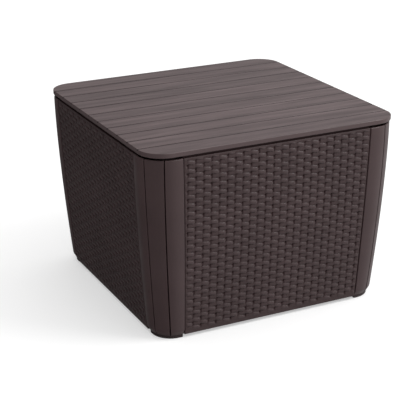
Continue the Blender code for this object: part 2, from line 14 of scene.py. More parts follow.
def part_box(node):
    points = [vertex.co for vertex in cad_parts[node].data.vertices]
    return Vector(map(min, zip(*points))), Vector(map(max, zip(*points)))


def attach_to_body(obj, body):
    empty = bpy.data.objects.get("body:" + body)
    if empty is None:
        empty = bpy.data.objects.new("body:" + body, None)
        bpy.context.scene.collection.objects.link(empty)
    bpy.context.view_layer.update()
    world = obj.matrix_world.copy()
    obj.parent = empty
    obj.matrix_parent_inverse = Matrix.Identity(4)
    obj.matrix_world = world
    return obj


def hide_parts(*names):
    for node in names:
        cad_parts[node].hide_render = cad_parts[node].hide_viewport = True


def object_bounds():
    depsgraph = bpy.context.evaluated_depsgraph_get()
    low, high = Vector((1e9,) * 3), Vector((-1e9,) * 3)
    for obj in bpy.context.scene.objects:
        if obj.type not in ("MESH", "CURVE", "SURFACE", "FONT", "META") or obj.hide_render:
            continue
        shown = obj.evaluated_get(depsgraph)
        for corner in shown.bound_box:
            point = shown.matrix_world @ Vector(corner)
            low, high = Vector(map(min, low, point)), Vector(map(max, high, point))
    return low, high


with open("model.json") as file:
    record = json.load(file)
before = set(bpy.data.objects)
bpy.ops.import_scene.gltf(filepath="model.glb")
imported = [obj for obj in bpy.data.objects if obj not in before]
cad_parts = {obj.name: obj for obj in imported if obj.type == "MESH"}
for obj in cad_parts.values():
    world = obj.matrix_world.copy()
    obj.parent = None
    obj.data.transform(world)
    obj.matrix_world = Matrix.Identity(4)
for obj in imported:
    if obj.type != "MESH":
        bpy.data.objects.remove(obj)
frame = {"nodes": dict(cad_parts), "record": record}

cad_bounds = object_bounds()
nodes = frame["nodes"]
rng = np.random.default_rng(7)

QUARTER_TURN = math.pi / 2
WALLS = ("back", "left", "front", "right")
CORNERS = ("back_right", "back_left", "front_left", "front_right")
GAP = 0.0003
TINY = 1e-6

# Body, as in the CAD: the sides lean in towards the floor along a power curve
BODY_BOTTOM, BODY_TOP = (corner.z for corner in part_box("corner_post_front_left"))
REACH_TOP = cad_bounds[1].x
TAPER = 0.0259
TAPER_POWER = 1.5
SEAM_TOP = 0.220
SEAM_FLOOR = 0.2108
SEAM_GAP = 0.0013
RIM_DROP = 0.0020
RIM_TOP = BODY_TOP - RIM_DROP

# Wall panels
PANEL_RECESS = 0.0008
PANEL_THICKNESS = 0.008
PANEL_LEVELS = 17
LIP_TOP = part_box("front_panel")[1].z
LIP_THICKNESS = 0.003
LEDGE_LENGTH = 0.340
LEDGE_DEPTH = 0.012
LEDGE_HEIGHT = 0.008
LEDGE_BURIED = 0.002
LEDGE_RISE = 0.0077
LEDGE_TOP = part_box("floor_panel")[0].z + LEDGE_RISE
NOTCH_HALF_WIDTH = 0.035
NOTCH_DEPTH = 0.030
NOTCH_FLOOR = 0.3983
CUT_MARGIN = 0.010

# Woven relief: rounded strands along the wall pass over and under wide, flat upright straps
COLUMN_PITCH = 0.0179
ROW_PITCH = 0.00919
COLUMN_START = -0.0038
ROW_START = 0.0019
STRAND_WAVE = 0.0015
STRAND_CROWN = 0.0012
STRAND_HALF = 0.0041
STRAND_NECK = 0.22
STRAND_SWAY = 0.0012
STRAND_LEAD = 0.0024
STRAND_SQUARENESS = 2.2
STRAND_ROUNDNESS = 2.0
STRAP_WAVE = 0.0011
STRAP_CROWN = 0.0007
STRAP_HALF = 0.0086
STRAP_SWAY = 0.0004
STRAP_LEAD = -0.0002
STRAP_SQUARENESS = 1.2
STRAP_ROUNDNESS = 3.0
EDGE_STEEPNESS = 4
PIT_DEPTH = 0.0011
WEAVE_LEVEL = 0.0025
WEAVE_SETBACK = PANEL_RECESS / 4
SAMPLES_PER_COLUMN = 12
SAMPLES_PER_ROW = 7.5

# Plain border round the relief: width and fade at the sides, the top and the bottom
SIDE_BORDER = (0.0026, 0.0016)
TOP_BORDER = (0.0034, 0.0012)
BOTTOM_BORDER = (0.0090, 0.0030)
BORDER_SETBACK = 0.0010
BORDER_ROUNDING = 0.0008
PLAIN_RELIEF = 0.7

# Posts
POST_CHAMFER_TOP = 0.019
POST_CHAMFER = 0.005
POST_BEND = 0.0008
POST_SKIN = 0.0035
POST_TAB = 0.014
POST_RADIUS_TOP = 0.064
POST_RADIUS_FLOOR = 0.050
POST_SIDE_EDGE = 0.0010
POST_TOP_EDGE = 0.0020
POST_LOW_EDGE = 0.0006
GROOVE_ANGLE = math.radians(25)
GROOVE_HALF_WIDTH = 0.0015
GROOVE_DEPTH = 0.0024
GROOVE_STEPS = 13
OUTER_STEPS = 40
INNER_STEPS = 16

# Lid
LID_LOW, LID_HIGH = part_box("lid_top")
LID_WIDTH = LID_HIGH.x - LID_LOW.x
LID_CORNER = 0.053
LID_EDGE = 0.0016
LID_LOW_EDGE = 0.0015
LID_SPARE = 0.0003
LID_STEPS = 24
PLANK_PITCH = 0.0533
PLANK_GROOVES = 10
PLANK_GROOVE_WIDTH = 0.0046
PLANK_GROOVE_DEPTH = 0.0026
PLANK_GROOVE_STEPS = 13
BLOCK_REACH = 0.4
POCKET_WIDTH = 0.5790
POCKET_BELOW = 0.003
POCKET_STEPS = 20
LINER_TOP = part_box("lid_liner")[1].z

# Broken edges of the CAD nodes that stay
HINGE_EDGE = 0.0003
PLAIN_EDGE = 0.0005
EDGE_SEGMENTS = 2
EDGE_ANGLE = math.radians(40)

# Screws
HEAD_RADIUS = 0.0040
HEAD_HEIGHT = 0.0022
HEAD_ARC = 1.25
HEAD_BAND = 0.0005
HEAD_EDGE = 0.0002
SHANK_RADIUS = 0.0016
SHANK_LENGTH = 0.009
TIP_RADIUS = 0.0013
TIP_LENGTH = 0.0016
THREAD_START = 0.001
THREAD_PITCH = 0.0011
THREAD_DEPTH = 0.00035
THREAD_TURNS = 6
SCREW_SIDES = 24
CROSS_LENGTH = 0.0042
CROSS_WIDTH = 0.0008
CROSS_DEPTH = 0.0012

# Shades of the woven resin, as shares of its dark and light colours, with painted shade for the pits,
# and grain of the lid's rim
PAINTED_PIT_SHADE = (0.67, 0.54, 0.54)
STRAP_SHADE = (0.82, 0.60, 0.60)
STRAP_TINT = 0.45
CREST_SHADE = (1.27, 1.34, 1.34)
RIM_GRAIN = 0.48

# Studio: brightness rises from the left to the right
FLOOR_ALBEDO = 0.62
FLOOR_LIFT = 0.42
FLOOR_REACH = 30
BACKDROP = 1.15
DIFFUSE_GLOW = (-1.0, 1.0, 0.42, 1.30)
GLOSSY_GLOW = (-0.37, 1.0, 0.055, 0.78)
GLOW_UPWARD = 0.6
KEY_PLACE = Vector((1.9, -1.6, 2.6))
KEY_TARGET = Vector((0, 0, 0.2))
KEY_SIZE = 1.6
KEY_POWER = 57

# Camera
CAMERA_PLACE = Vector((-1.219675, -2.434347, 1.206858))
CAMERA_AZIMUTH = math.radians(-25.943)
CAMERA_ELEVATION = math.radians(20.685)
CAMERA_ROLL = math.radians(-0.499)
CAMERA_LENS = 111.94


# ---------------------------------------------------------------- shape of the body

def wall_reach(z):
    drop = np.clip(1 - np.asarray(z, float) / BODY_TOP, 0, None)
    return REACH_TOP - TAPER * drop**TAPER_POWER


def between(low, high, z):
    return low + (high - low) * np.asarray(z, float) / BODY_TOP


def seam_reach(z):
    return between(SEAM_FLOOR, SEAM_TOP, z)


def smoothstep(low, high, value):
    t = np.clip((value - low) / (high - low), 0, 1)
    return t * t * (3 - 2 * t)


# ---------------------------------------------------------------- mesh helpers

def link_object(name, data):
    item = bpy.data.objects.new(name, data)
    bpy.context.scene.collection.objects.link(item)
    return item


def make_object(name, verts, faces):
    mesh = bpy.data.meshes.new(name)
    mesh.from_pydata([tuple(v) for v in verts], [], faces)
    mesh.update()
    return link_object(name, mesh)


@contextmanager
def editing(mesh):
    """The mesh as a bmesh, written back at the end."""
    bm = bmesh.new()
    bm.from_mesh(mesh)
    yield bm
    bm.to_mesh(mesh)
    bm.free()


def add_block(bm, low, high):
    """A box between two opposite corners."""
    low, high = Vector(low), Vector(high)
    made = bmesh.ops.create_cube(bm, size=1)["verts"]
    place = Matrix.Translation((low + high) / 2) @ Matrix.Diagonal((*(high - low), 1))
    bmesh.ops.transform(bm, matrix=place, verts=made)


def make_blocks(name, corner_pairs):
    item = link_object(name, bpy.data.meshes.new(name))
    with editing(item.data) as bm:
        for low, high in corner_pairs:
            add_block(bm, low, high)
    return item


def add_boolean(item, operation, cutter):
    modifier = item.modifiers.new(operation.lower(), "BOOLEAN")
    modifier.operation = operation
    modifier.solver = "EXACT"
    modifier.object = cutter
    return modifier


def apply_booleans(item, *cutters):
    bpy.context.view_layer.update()
    graph = bpy.context.evaluated_depsgraph_get()
    mesh = bpy.data.meshes.new_from_object(item.evaluated_get(graph))
    item.modifiers.clear()
    item.data = mesh
    for cutter in cutters:
        bpy.data.objects.remove(cutter)


def add_values(item, name, values):
    """One number at each vertex, for the material to read."""
    layer = item.data.attributes.new(name, "FLOAT", "POINT")
    layer.data.foreach_set("value", np.asarray(values, np.float32))


def smooth(item, degrees):
    item.data.shade_smooth()
    item.data.set_sharp_from_angle(angle=math.radians(degrees))


def break_edges(item, width):
    """Modifiers that round the sharp edges of a CAD mesh slightly; the mesh stays as it is."""
    weld = item.modifiers.new("weld", "WELD")
    weld.merge_threshold = TINY
    modifier = item.modifiers.new("edges", "BEVEL")
    modifier.width = width
    modifier.segments = EDGE_SEGMENTS
    modifier.limit_method = "ANGLE"
    modifier.angle_limit = EDGE_ANGLE


def arc(centre, radius, start, end, steps):
    angles = np.linspace(start, end, steps + 1)
    return [(centre[0] + radius * math.cos(a), centre[1] + radius * math.sin(a)) for a in angles]


def rounded_square(width, radius, steps):
    middle = width / 2 - radius
    points = []
    for turn in range(4):
        start = turn * QUARTER_TURN
        across = math.cos(start) - math.sin(start)
        along = math.sin(start) + math.cos(start)
        points += arc((middle * across, middle * along), radius, start, start + QUARTER_TURN, steps)
    return points


def rounded_edge(end, inward, radius, angles):
    """Levels round the edge at height end, as (height, how far the outside is drawn in); inward is
    +1 where the solid lies above the end and -1 where it lies below."""
    return [(end + inward * radius * (1 - math.sin(a)), radius * (1 - math.cos(a))) for a in angles]


def loft(rings):
    """Closed solid through rings of equal length, anticlockwise as seen from the last one."""
    count = len(rings[0])
    assert all(len(ring) == count for ring in rings)
    verts = [point for ring in rings for point in ring]
    faces = []
    for level in range(len(rings) - 1):
        low, high = level * count, (level + 1) * count
        for i in range(count):
            j = (i + 1) % count
            faces.append((low + i, low + j, high + j, high + i))
    faces.append(tuple(reversed(range(count))))
    top = (len(rings) - 1) * count
    faces.append(tuple(range(top, top + count)))
    return verts, faces


def attach(item, body, replaced):
    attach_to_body(item, body)
    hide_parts(replaced)


# ---------------------------------------------------------------- materials

class Nodes:
    """Short calls for building one material's node tree."""

    def __init__(self, name):
        self.material = bpy.data.materials.new(name)
        self.material.use_nodes = True
        self.tree = self.material.node_tree
        self.shader = self.tree.nodes["Principled BSDF"]

    def add(self, kind):
        return self.tree.nodes.new(kind)

    def feed(self, socket, value):
        """Set an input to a number or a colour, or link it to an output."""
        if isinstance(value, (int, float)):
            socket.default_value = value
        elif isinstance(value, tuple):
            socket.default_value = (*value, 1)
        else:
            self.tree.links.new(value, socket)

    def position(self):
        return self.add("ShaderNodeTexCoord").outputs["Object"]

    def scaled(self, source, x, y, z):
        mapping = self.add("ShaderNodeMapping")
        mapping.inputs["Scale"].default_value = (x, y, z)
        self.feed(mapping.inputs["Vector"], source)
        return mapping.outputs["Vector"]

    def noise(self, vector, scale, detail, roughness=0.5, distortion=0.0):
        node = self.add("ShaderNodeTexNoise")
        self.feed(node.inputs["Vector"], vector)
        self.feed(node.inputs["Scale"], scale)
        self.feed(node.inputs["Detail"], detail)
        self.feed(node.inputs["Roughness"], roughness)
        self.feed(node.inputs["Distortion"], distortion)
        return node.outputs["Fac"]

    def remap(self, source, low, high, to_low, to_high):
        node = self.add("ShaderNodeMapRange")
        self.feed(node.inputs["Value"], source)
        self.feed(node.inputs["From Min"], low)
        self.feed(node.inputs["From Max"], high)
        self.feed(node.inputs["To Min"], to_low)
        self.feed(node.inputs["To Max"], to_high)
        return node.outputs["Result"]

    def math(self, operation, first, second=0.0):
        node = self.add("ShaderNodeMath")
        node.operation = operation
        self.feed(node.inputs[0], first)
        self.feed(node.inputs[1], second)
        return node.outputs["Value"]

    def mix(self, factor, first, second):
        node = self.add("ShaderNodeMix")
        node.data_type = "RGBA"
        self.feed(node.inputs[0], factor)
        self.feed(node.inputs[6], first)
        self.feed(node.inputs[7], second)
        return node.outputs[2]

    def bump(self, height, distance, strength, normal=None):
        node = self.add("ShaderNodeBump")
        self.feed(node.inputs["Height"], height)
        self.feed(node.inputs["Distance"], distance)
        self.feed(node.inputs["Strength"], strength)
        if normal is not None:
            self.feed(node.inputs["Normal"], normal)
        return node.outputs["Normal"]

    def attribute(self, name):
        node = self.add("ShaderNodeAttribute")
        node.attribute_name = name
        return node.outputs["Fac"]

    def finish(self, colour, roughness, normal, specular, metallic=0.0):
        self.feed(self.shader.inputs["Base Color"], colour)
        self.feed(self.shader.inputs["Roughness"], roughness)
        self.feed(self.shader.inputs["Normal"], normal)
        self.feed(self.shader.inputs["Specular IOR Level"], specular)
        self.feed(self.shader.inputs["Metallic"], metallic)
        return self.material


def shaded(colour, share):
    """A colour times one share, or times a share for each channel."""
    return tuple(float(channel) for channel in np.multiply(colour, share))


def moulded_resin(name, dark, light, roughness, specular, painted_groove_shade=False):
    """Smooth moulded resin: slow colour drift, a fine leathery skin and worn edges, with painted shade
    in the grooves and seams where asked.
    """
    n = Nodes(name)
    place = n.position()
    drift = n.noise(place, scale=9.0, detail=2.0)
    speckle = n.noise(place, scale=900.0, detail=2.0)
    tone = n.math("ADD", n.math("MULTIPLY", drift, 0.7), n.math("MULTIPLY", speckle, 0.3))
    colour = n.mix(n.remap(tone, 0.35, 0.65, 0.0, 1.0), dark, light)
    pointed = n.add("ShaderNodeNewGeometry").outputs["Pointiness"]
    worn = n.remap(pointed, 0.53, 0.62, 0.0, 0.45)
    colour = n.mix(worn, colour, shaded(light, 2.2))
    if painted_groove_shade:
        # Painted shade: the grooves and the seams beside the walls are painted nearly black, with
        # little reflection
        sunk = n.remap(n.attribute("relief"), 0.1, 0.9, 1.0, 0.0)
        colour = n.mix(sunk, colour, shaded(dark, 0.12))
        specular = n.remap(sunk, 0.0, 1.0, specular, 0.05)
    sheen = n.noise(place, scale=30.0, detail=4.0)
    rough = n.remap(sheen, 0.3, 0.7, roughness - 0.04, roughness + 0.05)
    skin = n.noise(place, scale=1400.0, detail=3.0)
    normal = n.bump(skin, distance=0.00006, strength=0.6)
    return n.finish(colour, rough, normal, specular)


def woven_resin(name, dark, light, roughness, specular):
    """Resin of the woven walls: painted shade in the pits, straps darker than the strands, and fine
    fibres.
    """
    n = Nodes(name)
    place = n.position()
    relief = n.attribute("relief")
    upright = n.attribute("upright")
    drift = n.noise(place, scale=12.0, detail=3.0)
    colour = n.mix(n.remap(drift, 0.3, 0.7, 0.0, 1.0), dark, light)
    # Painted shade: the low parts of the relief are darkened towards the pit colour, standing in for
    # the shade that falls in the pits
    pit_shade_mask = n.remap(relief, 0.10, 0.75, 1.0, 0.0)
    colour = n.mix(pit_shade_mask, colour, shaded(dark, PAINTED_PIT_SHADE))
    colour = n.mix(n.math("MULTIPLY", upright, STRAP_TINT), colour, shaded(dark, STRAP_SHADE))
    crest = n.remap(relief, 0.75, 1.0, 0.0, 0.30)
    colour = n.mix(crest, colour, shaded(light, CREST_SHADE))
    along = n.noise(n.scaled(place, 60.0, 60.0, 1500.0), scale=1.0, detail=3.0)
    up = n.noise(n.scaled(place, 1500.0, 1500.0, 60.0), scale=1.0, detail=3.0)
    fibre = n.mix(upright, along, up)
    fleck = n.math("MULTIPLY", n.remap(fibre, 0.3, 0.7, 0.0, 0.35), n.math("SUBTRACT", 1.0, pit_shade_mask))
    colour = n.mix(fleck, colour, shaded(light, 1.5))
    specular = n.remap(pit_shade_mask, 0.0, 1.0, specular, 0.15)
    rough = n.remap(fibre, 0.3, 0.7, roughness - 0.05, roughness + 0.06)
    normal = n.bump(fibre, distance=0.00012, strength=0.7)
    skin = n.noise(place, scale=1300.0, detail=3.0)
    normal = n.bump(skin, distance=0.00004, strength=0.5, normal=normal)
    return n.finish(colour, rough, normal, specular)


def plank_tone(n, across):
    """Whole number of the plank, and a random tone between 0 and 1 of its own."""
    plank = n.math("FLOOR", n.math("ADD", across, 0.5))
    tone = n.add("ShaderNodeTexWhiteNoise")
    tone.noise_dimensions = "1D"
    n.feed(tone.inputs["W"], plank)
    return plank, tone.outputs["Value"]


def plank_grain(n, place, plank, tone, height):
    """Streaks along the planks, shifted from plank to plank and even on the rim."""
    shift = n.add("ShaderNodeCombineXYZ")
    n.feed(shift.inputs["X"], n.math("MULTIPLY", tone, 3.0))
    n.feed(shift.inputs["Z"], n.math("MULTIPLY", plank, 0.7))
    own = n.add("ShaderNodeVectorMath")
    own.operation = "ADD"
    n.feed(own.inputs[0], place)
    n.feed(own.inputs[1], shift.outputs["Vector"])
    shifted = own.outputs["Vector"]
    coarse = n.noise(n.scaled(shifted, 4.0, 75.0, 4.0), 1.0, 4.0, roughness=0.6, distortion=0.4)
    fine = n.noise(n.scaled(shifted, 9.0, 700.0, 9.0), 1.0, 3.0, roughness=0.6)
    pores = n.noise(n.scaled(shifted, 25.0, 1500.0, 25.0), 1.0, 2.0)
    grain = n.math("ADD", n.math("MULTIPLY", coarse, 0.6), n.math("MULTIPLY", fine, 0.2))
    grain = n.math("ADD", grain, n.math("MULTIPLY", pores, 0.2))
    on_top = n.math("GREATER_THAN", height, LID_HIGH.z - LID_EDGE / 2)
    return n.math("ADD", RIM_GRAIN, n.math("MULTIPLY", n.math("SUBTRACT", grain, RIM_GRAIN), on_top))


def plank_groove_shade(n, across, height):
    """1 at the bottom of the grooves between the planks, where shade is painted, 0 elsewhere."""
    half = PLANK_GROOVE_WIDTH / 2 / PLANK_PITCH
    aside = n.math("ABSOLUTE", n.math("SUBTRACT", n.math("FRACT", across), 0.5))
    sunk = n.remap(aside, 0.55 * half, half, 1.0, 0.0)
    above = n.math("GREATER_THAN", height, LID_HIGH.z - PLANK_GROOVE_DEPTH - 0.0005)
    within = n.math("LESS_THAN", n.math("ABSOLUTE", across), PLANK_GROOVES / 2)
    return n.math("MULTIPLY", sunk, n.math("MULTIPLY", above, within))


def planked_resin(name, dark, light, roughness, specular):
    """Resin of the lid: brushed wood grain along the planks, each plank its own tone, and painted shade
    in the grooves between them.
    """
    n = Nodes(name)
    place = n.position()
    split = n.add("ShaderNodeSeparateXYZ")
    n.feed(split.inputs["Vector"], place)
    height = split.outputs["Z"]
    across = n.math("DIVIDE", split.outputs["Y"], PLANK_PITCH)
    plank, tone = plank_tone(n, across)
    grain = plank_grain(n, place, plank, tone, height)
    colour = n.mix(n.remap(grain, 0.38, 0.62, 0.0, 1.0), dark, light)
    colour = n.mix(n.remap(tone, 0.0, 1.0, 0.0, 0.16), colour, shaded(dark, 0.5))
    sunk = plank_groove_shade(n, across, height)
    # Painted shade: the bottoms of the grooves between the planks are painted nearly black, with little
    # reflection
    colour = n.mix(sunk, colour, shaded(dark, 0.08))
    specular = n.remap(sunk, 0.0, 1.0, specular, 0.03)
    rough = n.remap(grain, 0.35, 0.65, roughness + 0.05, roughness - 0.05)
    normal = n.bump(grain, distance=0.00035, strength=0.8)
    skin = n.noise(place, scale=1500.0, detail=2.0)
    normal = n.bump(skin, distance=0.00004, strength=0.5, normal=normal)
    return n.finish(colour, rough, normal, specular)


def zinc_steel(name, dark, light):
    """Zinc-plated steel with a faint spangle."""
    n = Nodes(name)
    place = n.position()
    spangle = n.noise(place, scale=220.0, detail=3.0)
    colour = n.mix(n.remap(spangle, 0.3, 0.7, 0.0, 1.0), dark, light)
    rough = n.remap(n.noise(place, scale=700.0, detail=3.0), 0.3, 0.7, 0.26, 0.46)
    normal = n.bump(spangle, distance=0.00002, strength=0.5)
    return n.finish(colour, rough, normal, specular=0.5, metallic=1.0)


LOOKS = {
    "panel": woven_resin(
        "woven_resin", (0.038, 0.0225, 0.0231), (0.053, 0.0320, 0.0328), roughness=0.46, specular=0.42
    ),
    "post": moulded_resin(
        "post_resin", (0.053, 0.0316, 0.0325), (0.062, 0.0374, 0.0384), 0.40, 0.45, painted_groove_shade=True
    ),
    "lid": planked_resin(
        "lid_resin", (0.059, 0.0374, 0.0384), (0.119, 0.0797, 0.0812), roughness=0.42, specular=0.45
    ),
    "inner": moulded_resin(
        "inner_resin", (0.036, 0.0225, 0.0230), (0.048, 0.0300, 0.0305), roughness=0.52, specular=0.40
    ),
    "foot": moulded_resin(
        "foot_resin", (0.026, 0.0165, 0.0170), (0.036, 0.0230, 0.0235), roughness=0.60, specular=0.35
    ),
    "steel": zinc_steel("zinc_steel", (0.42, 0.42, 0.41), (0.62, 0.62, 0.60)),
}


def dress(item, look):
    item.data.materials.clear()
    item.data.materials.append(LOOKS[look])


# ---------------------------------------------------------------- woven walls

def crown(offset, half_width, height, roundness):
    """Rounded cross-section of a strip, falling away steeply past its edges."""
    t = np.abs(offset) / half_width
    inside = height * (1 - np.clip(t, 0, 1) ** roundness) ** (1 / roundness)
    return np.where(t <= 1, inside, -EDGE_STEEPNESS * (t - 1) * half_width)


def square_wave(phase, squareness):
    return np.tanh(squareness * np.cos(phase)) / math.tanh(squareness)


def strand_height(column, row):
    """Height of the strands that lie along the wall, narrower where they pass under."""
    highest = np.full(column.shape, -1.0)
    for step in (-1, 0, 1):
        r = np.round(row) + step
        phase = math.pi * (column + STRAND_LEAD / COLUMN_PITCH - r)
        offset = (row - r) * ROW_PITCH + STRAND_SWAY * np.sin(phase)
        wave = square_wave(phase, STRAND_SQUARENESS)
        half = STRAND_HALF * (1 - STRAND_NECK * (0.5 - 0.5 * wave))
        height = STRAND_WAVE * wave + crown(offset, half, STRAND_CROWN, STRAND_ROUNDNESS)
        highest = np.maximum(highest, height)
    return highest


def strap_height(column, row):
    """Height of the upright straps."""
    highest = np.full(column.shape, -1.0)
    for step in (-1, 0, 1):
        c = np.round(column) + step
        phase = math.pi * (row - STRAP_LEAD / ROW_PITCH - c)
        offset = (column - c) * COLUMN_PITCH + STRAP_SWAY * np.sin(phase)
        wave = square_wave(phase, STRAP_SQUARENESS)
        height = crown(offset, STRAP_HALF, STRAP_CROWN, STRAP_ROUNDNESS) - STRAP_WAVE * wave
        highest = np.maximum(highest, height)
    return highest


def woven_height(u, z):
    """Height of the woven relief over its mean plane, and where a strap is on top."""
    column = (u - COLUMN_START) / COLUMN_PITCH
    row = (z - ROW_START) / ROW_PITCH
    strand = strand_height(column, row)
    strap = strap_height(column, row)
    return np.maximum(np.maximum(strand, strap), -PIT_DEPTH), strap > strand


def woven_face():
    """Outer face of a wall, as grids: place along the wall, height above the floor, distance from
    the table's middle, relief from 0 to 1, and where a strap is on top."""
    half_columns = math.ceil(SEAM_TOP / COLUMN_PITCH * SAMPLES_PER_COLUMN)
    columns = np.linspace(-1, 1, 2 * half_columns + 1)
    row_count = math.ceil((RIM_TOP - BODY_BOTTOM) / ROW_PITCH * SAMPLES_PER_ROW)
    levels = np.linspace(BODY_BOTTOM, RIM_TOP, row_count + 1)
    across, z = np.meshgrid(columns, levels)
    edge = seam_reach(z) - SEAM_GAP / 2
    u = across * edge
    height, upright = woven_height(u, z)

    distances = (edge - np.abs(u), RIM_TOP - z, z - BODY_BOTTOM)
    woven = np.ones(u.shape)
    for distance, (width, fade) in zip(distances, (SIDE_BORDER, TOP_BORDER, BOTTOM_BORDER)):
        woven = woven * smoothstep(width, width + fade, distance)
    height = height * woven + (WEAVE_LEVEL - BORDER_SETBACK) * (1 - woven)
    lost = np.clip(1 - np.minimum.reduce(distances) / BORDER_ROUNDING, 0, 1)
    height = height - BORDER_ROUNDING * (1 - np.sqrt(1 - lost**2))
    reach = wall_reach(z) - WEAVE_LEVEL - WEAVE_SETBACK + height
    relief = (height - height.min()) / (height.max() - height.min())
    return u, z, reach, relief, upright


def inner_profile():
    """Plain side of a wall, from the rim up over the lip and down to the bottom, as (distance from
    the table's middle, height)."""
    levels = np.linspace(BODY_BOTTOM, RIM_TOP, PANEL_LEVELS)
    inner = wall_reach(levels) - PANEL_RECESS - PANEL_THICKNESS
    lip = float(inner[-1])
    profile = [(lip + LIP_THICKNESS, RIM_TOP), (lip + LIP_THICKNESS, LIP_TOP), (lip, LIP_TOP)]
    return profile + list(zip(inner[::-1], levels[::-1]))


def wall_mesh(name):
    """The front wall: a woven face, planar ends and a plain inner side with its top lip."""
    u, z, reach, relief, upright = woven_face()
    rows, cols = u.shape
    outer_verts = np.stack([u, -reach, z], 2).reshape(-1, 3)
    index = np.arange(rows * cols).reshape(rows, cols)
    quads = np.stack([index[:-1, :-1], index[:-1, 1:], index[1:, 1:], index[1:, :-1]], 2).reshape(-1, 4)
    faces = [tuple(quad) for quad in quads.tolist()]

    profile = inner_profile()
    inner_verts = []
    for y, level in profile:
        x = float(seam_reach(min(level, BODY_TOP)) - SEAM_GAP / 2)
        inner_verts += [(-x, -y, level), (x, -y, level)]
    lefts = [rows * cols + 2 * i for i in range(len(profile))]
    rights = [left + 1 for left in lefts]
    faces.append((*index[-1].tolist(), rights[0], lefts[0]))
    for i in range(len(profile) - 1):
        faces.append((lefts[i], rights[i], rights[i + 1], lefts[i + 1]))
    faces.append((*reversed(index[0].tolist()), lefts[-1], rights[-1]))
    faces.append((*index[:, -1].tolist(), *rights))
    faces.append((*reversed(index[:, 0].tolist()), *reversed(lefts)))

    inner_relief = np.full(len(inner_verts), PLAIN_RELIEF)
    # Painted shade: the outer side of the lip, in the gap under the lid, is painted as dark as a pit
    inner_relief[:4] = 0.0
    item = make_object(name, np.concatenate([outer_verts, inner_verts]), faces)
    add_values(item, "relief", np.concatenate([relief.ravel(), inner_relief]))
    add_values(item, "upright", np.concatenate([upright.ravel(), np.zeros(len(inner_verts))]))
    return item


def add_ledge(item):
    """The shelf inside the front wall that carries the floor panel."""
    root = float(wall_reach(LEDGE_TOP)) - PANEL_RECESS - PANEL_THICKNESS
    low = (-LEDGE_LENGTH / 2, -(root + LEDGE_BURIED), LEDGE_TOP - LEDGE_HEIGHT)
    high = (LEDGE_LENGTH / 2, -(root - LEDGE_DEPTH), LEDGE_TOP)
    with editing(item.data) as bm:
        add_block(bm, low, high)


def cut_hinge_notches(item):
    """Notches for the hinge knuckles, in the wall still facing the front."""
    arm_low, arm_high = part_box("hinge_arm_right")
    hinge_x = (arm_low.x + arm_high.x) / 2
    notches = []
    for x in (-hinge_x, hinge_x):
        low = (x - NOTCH_HALF_WIDTH, -(REACH_TOP + CUT_MARGIN), NOTCH_FLOOR)
        high = (x + NOTCH_HALF_WIDTH, -(REACH_TOP - NOTCH_DEPTH), LIP_TOP + CUT_MARGIN)
        notches.append((low, high))
    cutter = make_blocks("notches", notches)
    add_boolean(item, "DIFFERENCE", cutter)
    apply_booleans(item, cutter)


def make_walls():
    first = wall_mesh("weave_front")
    add_ledge(first)
    for turn, wall in enumerate(WALLS):
        item = first
        if wall != "front":
            item = link_object(f"weave_{wall}", first.data.copy())
        if wall == "back":
            cut_hinge_notches(item)
        turned = (turn - WALLS.index("front")) * QUARTER_TURN
        item.data.transform(Matrix.Rotation(turned, 4, "Z"))
        dress(item, "panel")
        smooth(item, 50)
        attach(item, "box", f"{wall}_panel")


# ---------------------------------------------------------------- corner posts

def grooved_arc(centre, radius):
    """Quarter arc with two rounded grooves, as (x, y, share of the groove's depth)."""
    half = GROOVE_HALF_WIDTH / radius
    middles = (GROOVE_ANGLE, QUARTER_TURN - GROOVE_ANGLE)
    # Clear of the widest angle that a groove takes, so that every ring has as many points
    clear = 1.1 * GROOVE_HALF_WIDTH / (POST_RADIUS_FLOOR - POST_CHAMFER)
    plain = np.linspace(0, QUARTER_TURN, OUTER_STEPS)
    angles = [a for a in plain if min(abs(a - middle) for middle in middles) > clear]
    for middle in middles:
        angles += list(middle + half * np.linspace(-1, 1, GROOVE_STEPS))
    points = []
    for angle in sorted(angles):
        t = min(abs(angle - middle) for middle in middles) / half
        share = (0.5 + 0.5 * math.cos(math.pi * min(t, 1))) ** 0.5
        reach = radius - GROOVE_DEPTH * share
        points.append((centre + reach * math.cos(angle), centre + reach * math.sin(angle), share))
    return points


def post_ring(z, shrink):
    """Section of the back-right post at height z, its outside drawn in by shrink, as (x, y, share
    of painted shade in the grooves and at the seam)."""
    reach = float(wall_reach(z))
    chamfer = POST_CHAMFER * max(0.0, (POST_CHAMFER_TOP - z) / (POST_CHAMFER_TOP - BODY_BOTTOM))
    outer = reach - chamfer
    seam = float(seam_reach(z)) + SEAM_GAP / 2
    radius = float(between(POST_RADIUS_FLOOR, POST_RADIUS_TOP, z)) - chamfer
    centre = outer - radius
    inner = outer - POST_SKIN
    tab_out = reach - PANEL_RECESS - PANEL_THICKNESS - GAP
    tab_in = tab_out - POST_SKIN
    tab_end = seam - POST_TAB
    web = seam + POST_SKIN

    side = []
    for angle in (0.0, 0.5, 1.05, QUARTER_TURN):
        x = outer - shrink - POST_SIDE_EDGE * (1 - math.sin(angle))
        side.append((x, seam + POST_SIDE_EDGE * (1 - math.cos(angle)), 0.0))
    section = side + grooved_arc(centre, radius - shrink)
    section += [(y, x, sunk) for x, y, sunk in reversed(side)]
    # Painted shade: the seam beside the wall and the tab behind the wall take a full share, so the seam
    # gap is painted dark
    section += [(seam, tab_out, 1.0), (tab_end, tab_out, 1.0)]
    section += [(tab_end, tab_in, 0.0), (web, tab_in, 0.0), (web, inner, 0.0)]
    inside = arc((centre, centre), radius - POST_SKIN, QUARTER_TURN, 0, INNER_STEPS)
    section += [(x, y, 0.0) for x, y in inside]
    section += [(inner, web, 0.0), (tab_in, web, 0.0), (tab_in, tab_end, 0.0)]
    # Painted shade at the seam on the other side, as above
    section += [(tab_out, tab_end, 1.0), (tab_out, seam, 1.0)]
    return section


